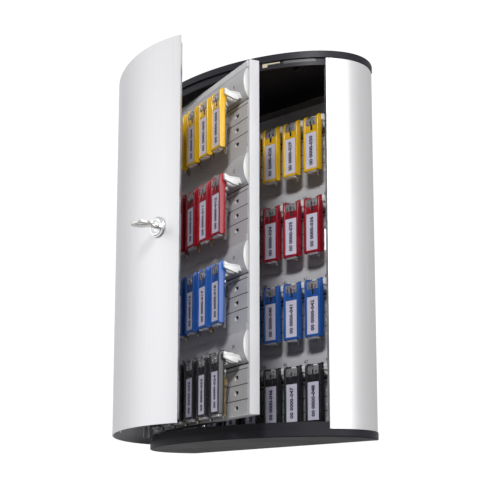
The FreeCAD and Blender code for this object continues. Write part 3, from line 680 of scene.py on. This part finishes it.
# ---- hooks and rail details ------------------------------------------------------------
def hook_shape(bm):
    """Hook with a saddle and raised tip, and beside it the beak-shaped guard between two tags."""
    beak = [(4.7, 52.0), (9.0, 52.8), (14.0, 54.0), (19.4, 55.8), (20.5, 57.4), (20.5, 61.4),
            (19.8, 62.3), (18.8, 62.0), (18.2, 60.6), (18.0, 58.6), (17.5, 57.5), (14.0, 57.5),
            (13.3, 58.6), (12.8, 63.2), (9.0, 62.7), (4.7, 62.3)]
    extrude(bm, [(-2.8, p, z) for p, z in beak], (5.6, 0, 0))
    block(bm, (-3.4, 3.4, 51.8), (3.4, 6.2, 62.3))
    low, high = CHEEK_X
    wedge = [(4.7, 50.8), (9.6, 51.2), (19.2, 54.6), (20.3, 55.8), (20.3, 57.1), (4.7, 56.9)]
    rim = [(4.7, 57.5), (20.3, 57.6), (20.3, 61.5), (19.4, 61.4), (15.0, 59.0), (4.7, 59.1)]
    core = [(4.7, 56.4), (19.9, 56.6), (19.9, 58.2), (4.7, 58.2)]
    extrude(bm, [(low, p, z) for p, z in wedge], (high - low, 0, 0))
    extrude(bm, [(low, p, z) for p, z in rim], (high - low, 0, 0))
    extrude(bm, [(low + 0.5, p, z) for p, z in core], (high - low - 1.0, 0, 0))
    for x0, x1 in ((-2.4, 2.4), (low + 1.0, high - 1.0)):
        block(bm, (x0, -2.0, 53.2), (x1, 5.2, 58.8))


def end_plate(bm):
    """White moulded plate that closes the bulge's right-hand end."""
    steps = 12
    low = BULGE_Z[0] + 0.4
    high = BULGE_Z[1] - 0.2
    heights = [low + (high - low) * i / steps for i in range(steps + 1)]
    outline = [(bulge_out(z) + 0.05, z) for z in heights] + [(-1.6, high), (-1.6, low)]
    extrude(bm, [(RAIL_HALF_WIDTH - 0.4, p, z) for p, z in outline], (1.2, 0, 0))


HOOK = template(hook_shape, 0.45, 2)
END_PLATE = template(end_plate, 0.3, 2)


def seam_shade_bars(bm):
    """Dark bars in the grooves between the strips, in the gap between two rails and in the undercut under the
    bulge: painted shade.
    """
    half = RAIL_HALF_WIDTH - 0.2
    for seam in (1, 2, 3):
        z = seam * STRIP_H
        block(bm, (-half, -1.6, z - 0.9), (half, -0.12, z + 0.1))
    block(bm, (-half, -1.6, -0.4), (half, -0.1, 0.35))
    block(bm, (-half, -4.2, UNDERCUT_Z[0] - 0.1), (half, -1.05, UNDERCUT_Z[1] + 0.1))


def slot_liner(bm):
    """Edge in the rail's grey round a strip's slot, with a pressed lip at its lower left in white as a painted
    highlight of its lit edge, and a dark bottom as painted shade in the hole.
    """
    outer = [(-4.1, -1.7), (-3.7, -2.1), (3.7, -2.1), (4.1, -1.7), (4.1, 1.7), (3.7, 2.1),
             (-3.7, 2.1), (-4.1, 1.7)]
    inner = [(u * 0.9, v * 0.84) for u, v in outer]
    lip = [(-5.4, -3.0), (-1.6, -3.0), (-3.2, 0.2), (-5.4, 0.2)]
    ring_solid(bm, [(u, 0.1, v) for u, v in outer], [(u, 0.1, v) for u, v in inner], (0, -1.0, 0))
    # dark bottom: painted shade inside the hole
    extrude(bm, [(u, -1.9, v) for u, v in outer], (0, -0.9, 0), 1)
    # white lip: painted highlight where the lower left edge catches the light
    extrude(bm, [(u, 0.05, v) for u, v in lip], (0, 0.45, 0), 2)


SEAM_SHADE = template(seam_shade_bars)
SLOT_LINER = template(slot_liner)


def rail_details(side):
    """Hooks, guards, end plates, numbers, dark bars of painted shade in the grooves, gaps and undercut, and slot
    edges of one side's four rails.
    """
    hooks, plates, marks, shade_bars, slots = [bmesh.new() for _ in range(5)]
    flip = Matrix.Diagonal((-1, 1, 1, 1))
    for row in range(1, RAIL_COUNT + 1):
        for i, x in enumerate(hook_places()):
            place(hooks, HOOK, rail_matrix(side, row, x))
            digits = text_mesh("%d" % key_number(side, row, i), *NUMBER)
            digits.transform(Matrix.Translation((x + NUMBER_X, 0, NUMBER_Z)) @ TEXT_LEVEL)
            for vert in digits.vertices:
                vert.co.y += bulge_out(vert.co.z) - 0.02
            place(marks, digits, rail_matrix(side, row))
        place(plates, END_PLATE, rail_matrix(side, row))
        place(plates, END_PLATE, rail_matrix(side, row) @ flip)
        place(shade_bars, SEAM_SHADE, rail_matrix(side, row))
        for strip in range(3):
            middle = Matrix.Translation((0, 0, (strip + 0.5) * STRIP_H))
            for x in (-RAIL_SLOT_X, RAIL_SLOT_X):
                place(slots, SLOT_LINER, rail_matrix(side, row, x) @ middle)
    for bm in (hooks, plates, marks, shade_bars, slots):
        bmesh.ops.recalc_face_normals(bm, faces=bm.faces)
    body = BODY[side]
    # dark bars: painted shade in the grooves, between the rails and under the bulge
    finish_piece(side + "_rail_shade_bars", shade_bars, [PAINTED_SHADE_DARK], body)
    # slot edges in rail grey, painted shade in the holes and a white painted highlight on each lip
    finish_piece(side + "_rail_slots", slots, [RAIL_COAT, PAINTED_SHADE_DARK, HOOK_PLASTIC], body)
    finish_piece(side + "_hook_mouldings", hooks, [HOOK_PLASTIC], body,
                 [side + "_hooks", side + "_hook_cheeks"])
    finish_piece(side + "_rail_end_plates", plates, [HOOK_PLASTIC], body)
    finish_piece(side + "_rail_numbers", marks, [MARKING], body)


# ---- swing panel frame -----------------------------------------------------------------
def panel_bars():
    """Free edge profile with its rebate, and the top bar, with rounded edges."""
    bar = bmesh.new()
    outline = [(105.2, -60.0), (111.6, -60.0), (111.6, -71.0), (108.6, -71.0), (108.6, -67.2),
               (105.2, -67.2)]
    extrude(bar, [(x, y, -PANEL_HALF_H) for x, y in outline], (0, 0, 2 * PANEL_HALF_H))
    soften(bar, 0.55, 3)
    finish_piece("panel_free_profile", bar, [FRAME_COAT], "swing_panel",
                 ["panel_free_bar"])
    top = bmesh.new()
    block(top, (-119.45, -70.7, 174.6), (105.15, -61.25, 181.6))
    soften(top, 0.5, 3)
    finish_piece("panel_top_profile", top, [FRAME_COAT], "swing_panel",
                 ["panel_top_bar"])


# ---- lock and key ----------------------------------------------------------------------
def lock_matrix():
    """Local Z out of the door at the lock, local Y up."""
    angle = math.radians(LOCK_ANGLE)
    point = Vector(((HALF_WIDTH - SHEET_INSET) * math.cos(angle),
                    PLAN_CENTRE_Y + (HALF_DEPTH - SHEET_INSET) * math.sin(angle), 0))
    out = Vector((math.cos(angle) / HALF_WIDTH, math.sin(angle) / HALF_DEPTH, 0)).normalized()
    up = Vector((0, 0, 1))
    side = up.cross(out)
    matrix = Matrix((side, up, out)).transposed().to_4x4()
    matrix.translation = point
    return matrix


def lock_pieces():
    """Escutcheon, plug with its keyway, and the key in it."""
    where = lock_matrix()
    rosette = template(lambda bm: lathe(bm, [
        (5.06, 0.5), (10.0, 0.5), (10.3, 0.9), (10.3, 1.5), (9.8, 2.0), (9.0, 2.2), (8.7, 2.9),
        (8.3, 3.2), (6.6, 3.35), (6.2, 3.1), (5.6, 2.9), (5.06, 2.9), (5.06, 0.5)], 64))
    bm = bmesh.new()
    place(bm, rosette, where)
    bmesh.ops.remove_doubles(bm, verts=bm.verts, dist=1e-4)
    bmesh.ops.recalc_face_normals(bm, faces=bm.faces)
    finish_piece("lock_escutcheon", bm, [CHROME], "door", ["lock_rosette"], 30.0)

    def plug_shape(bm):
        outline = circle(4.95, 40)
        inner = []
        for u, v in outline:
            reach = max(abs(u) / 4.05, abs(v) / 1.15)
            inner.append((u / reach, v / reach))
        ring_solid(bm, [(u, v, -9.4) for u, v in outline], [(u, v, -9.4) for u, v in inner],
                   (0, 0, 12.2))
        lathe(bm, [(0, -11.7), (4.95, -11.7), (4.95, -9.35), (0, -9.35)], 40)
        block(bm, (-2, -2, -14.0), (2, 2, -11.65))
    plug = template(plug_shape, 0.2, 2)
    bm = bmesh.new()
    place(bm, plug, where)
    finish_piece("lock_plug_barrel", bm, [CHROME], "lock_plug", ["lock_plug"], 30.0)

    def key_shape(bm):
        blade = [(3.6, 0), (3.6, 9.6), (4.6, 10.4), (4.6, 12.2), (-4.6, 12.2), (-4.6, 10.4),
                 (-3.6, 9.6)]
        z = 8.0
        for depth in (0.5, 1.3, 0.8, 1.6, 0.4, 1.1):
            blade += [(-3.6 + depth, z), (-3.6 + depth, z - 1.4)]
            z -= 2.7
        blade += [(-2.0, -9.0), (2.4, -9.0), (3.6, -7.6)]
        extrude(bm, [(u, -0.9, w) for u, w in blade], (0, 1.8, 0))
        outer = [(u, -1.1, 20.0 + v) for u, v in rounded_box(11.0, 9.5, 0.85, 40)]
        inner = [(u, -1.1, 25.0 + v) for u, v in rounded_box(2.5, 2.2, 1.0, 40)]
        ring_solid(bm, outer, inner, (0, 2.2, 0))
        for face_y in (-1.25, 0.95):
            grip = [(u, face_y, 18.2 + v) for u, v in rounded_box(6.6, 4.0, 1.0, 32)]
            extrude(bm, grip, (0, 0.3, 0))
    key = template(key_shape, 0.28, 2)
    bm = bmesh.new()
    place(bm, key, where)
    finish_piece("lock_key", bm, [NICKEL], "key", ["key"], 30.0)


# ---- fittings inside the cabinet -------------------------------------------------------
def screw_head(bm, centre, direction, radius):
    """Domed screw head with a cross recess, standing along a direction; the recess is a dark cross just proud of
    the dome, painted shade.
    """
    turn = Vector((0, 0, 1)).rotation_difference(Vector(direction)).to_matrix().to_4x4()
    where = Matrix.Translation(centre) @ turn
    profile = [(0, 0), (radius, 0), (radius, 0.35), (radius * 0.86, radius * 0.32),
               (radius * 0.55, radius * 0.48), (0, radius * 0.52)]
    place(bm, template(lambda b: lathe(b, profile, 20)), where)

    # dark cross: painted shade of the recess
    def cross(b):
        length, width = radius * 0.55, radius * 0.22
        for u, v in ((length, width), (width, length)):
            block(b, (-u, -v, radius * 0.38), (u, v, radius * 0.535), 1)
    place(bm, template(cross), where)


def curved_band(bm, inset, thickness, start, end, z0, z1, steps):
    """Closed band that follows the plan outline between two angles."""
    def point(distance, degrees):
        a = math.radians(degrees)
        return ((HALF_WIDTH - distance) * math.cos(a),
                PLAN_CENTRE_Y + (HALF_DEPTH - distance) * math.sin(a), z0)
    angles = [start + (end - start) * i / steps for i in range(steps + 1)]
    outline = [point(inset, a) for a in angles]
    outline += [point(inset + thickness, a) for a in reversed(angles)]
    extrude(bm, outline, (0, 0, z1 - z0))


def lip_gasket():
    """Grey strip let into the outer face of the upper lip, beside the shell."""
    bm = bmesh.new()
    curved_band(bm, 2.2, 0.8, 311.0, 328.5, 188.6, 192.2, 16)
    soften(bm, 0.15, 1)
    finish_piece("lip_gasket", bm, [GASKET], "cabinet")


def hinge_brackets():
    """Cast pivot brackets on the caps beside the two hinges."""
    # blocks: x range, y range, height; screws: place and the height of the block below
    blocks = [(-139.0, -121.5, -41.5, -27.0, 7.0), (-121.0, -104.0, -58.0, -46.0, 5.0)]
    screws = [(-134.5, -34.0, 7.0), (-126.5, -34.0, 7.0), (-112.5, -52.0, 5.0)]
    for name, sign in (("lower", -1), ("upper", 1)):
        bm = bmesh.new()
        for x0, x1, y0, y1, height in blocks:
            low, high = sorted((sign * CAP_FACE_Z, sign * (CAP_FACE_Z - height)))
            block(bm, (x0, y0, low), (x1, y1, high))
        soften(bm, 0.6, 2)
        for x, y, height in screws:
            screw_head(bm, (x, y, sign * (CAP_FACE_Z - height)), (0, 0, -sign), 2.3)
        finish_piece("hinge_brackets_" + name, bm, [STEEL, PAINTED_SHADE_DARK], "cabinet")


# ---- camera, light, floor --------------------------------------------------------------
def add_camera():
    """Camera low on the right that looks slightly up."""
    pitch = math.radians(CAMERA_PITCH_DEG)
    ahead = Vector((-math.sin(CAMERA_TURN), math.cos(CAMERA_TURN), 0))
    forward = ahead * math.cos(pitch) + Vector((0, 0, math.sin(pitch)))
    right = Vector((math.cos(CAMERA_TURN), math.sin(CAMERA_TURN), 0))
    up = right.cross(forward)
    data = bpy.data.cameras.new("camera")
    data.lens = CAMERA_LENS
    data.sensor_width = 36.0
    data.shift_y = CAMERA_SHIFT
    data.clip_start = 0.01
    camera = bpy.data.objects.new("camera", data)
    matrix = Matrix((right, up, -forward)).transposed().to_4x4()
    matrix.translation = Vector(CAMERA_PLACE) * MM
    camera.matrix_world = matrix
    bpy.context.scene.collection.objects.link(camera)
    bpy.context.scene.camera = camera


def add_light(name, azimuth, elevation, distance, size, watts):
    """Soft box aimed at the cabinet; azimuth 0 is straight in front, positive to the right."""
    data = bpy.data.lights.new(name, "AREA")
    data.shape = "RECTANGLE"
    data.size, data.size_y = size
    data.energy = watts
    light = bpy.data.objects.new(name, data)
    turn, rise = math.radians(azimuth), math.radians(elevation)
    target = Vector((0, -0.1, 0))
    away = Vector((math.cos(rise) * math.sin(turn), -math.cos(rise) * math.cos(turn),
                   math.sin(rise)))
    aim = (-away).to_track_quat("-Z", "Y").to_matrix().to_4x4()
    light.matrix_world = Matrix.Translation(target + distance * away) @ aim
    bpy.context.scene.collection.objects.link(light)


def add_world():
    """White studio: full white as a backdrop, a little less in gloss, dim as ambient light."""
    world = bpy.data.worlds.new("studio")
    world.use_nodes = True
    tree = world.node_tree
    paths = tree.nodes.new("ShaderNodeLightPath")
    shader = tree.nodes["Background"]
    shader.inputs["Strength"].default_value = AMBIENT
    for output, strength in (("Is Glossy Ray", GLOSS_AMBIENT), ("Is Camera Ray", BACKDROP)):
        seen = tree.nodes.new("ShaderNodeBackground")
        seen.inputs["Strength"].default_value = strength
        mix = tree.nodes.new("ShaderNodeMixShader")
        tree.links.new(paths.outputs[output], mix.inputs["Fac"])
        tree.links.new(shader.outputs[0], mix.inputs[1])
        tree.links.new(seen.outputs[0], mix.inputs[2])
        shader = mix
    for node in tree.nodes:
        if node.bl_idname == "ShaderNodeBackground":
            node.inputs["Color"].default_value = (1, 1, 1, 1)
    tree.links.new(shader.outputs[0], tree.nodes["World Output"].inputs["Surface"])
    bpy.context.scene.world = world


def add_floor():
    """Pale floor. It lies far below the lights, so what the camera sees of it is lifted."""
    bm = bmesh.new()
    low, high = FLOOR_Z
    block(bm, (-FLOOR_HALF, -FLOOR_HALF, low), (FLOOR_HALF, FLOOR_HALF, high))
    mesh = bpy.data.meshes.new("floor")
    bm.to_mesh(mesh)
    bm.free()
    material = moulded("floor_pale", (0.82, 0.82, 0.82), 0.7, 60.0, 1.0e-4, 0.02)
    tree = material.node_tree
    lift = tree.nodes.new("ShaderNodeMath")
    lift.operation = "MULTIPLY"
    lift.inputs[1].default_value = FLOOR_LIFT
    tree.links.new(tree.nodes.new("ShaderNodeLightPath").outputs["Is Camera Ray"], lift.inputs[0])
    shader = tree.nodes["Principled BSDF"]
    shader.inputs["Emission Color"].default_value = (1, 1, 1, 1)
    tree.links.new(lift.outputs[0], shader.inputs["Emission Strength"])
    mesh.materials.append(material)
    floor = bpy.data.objects.new("floor", mesh)
    bpy.context.scene.collection.objects.link(floor)


dress_nodes()
for rail_side in ("back", "panel"):
    rail_details(rail_side)
    for row_number in range(1, RAIL_COUNT + 1):
        tag_row(rail_side, row_number)
panel_bars()
lock_pieces()
hinge_brackets()
lip_gasket()

add_camera()
add_world()
add_floor()
for light_settings in LIGHTS:
    add_light(*light_settings)
bpy.context.scene.view_settings.view_transform = "Standard"
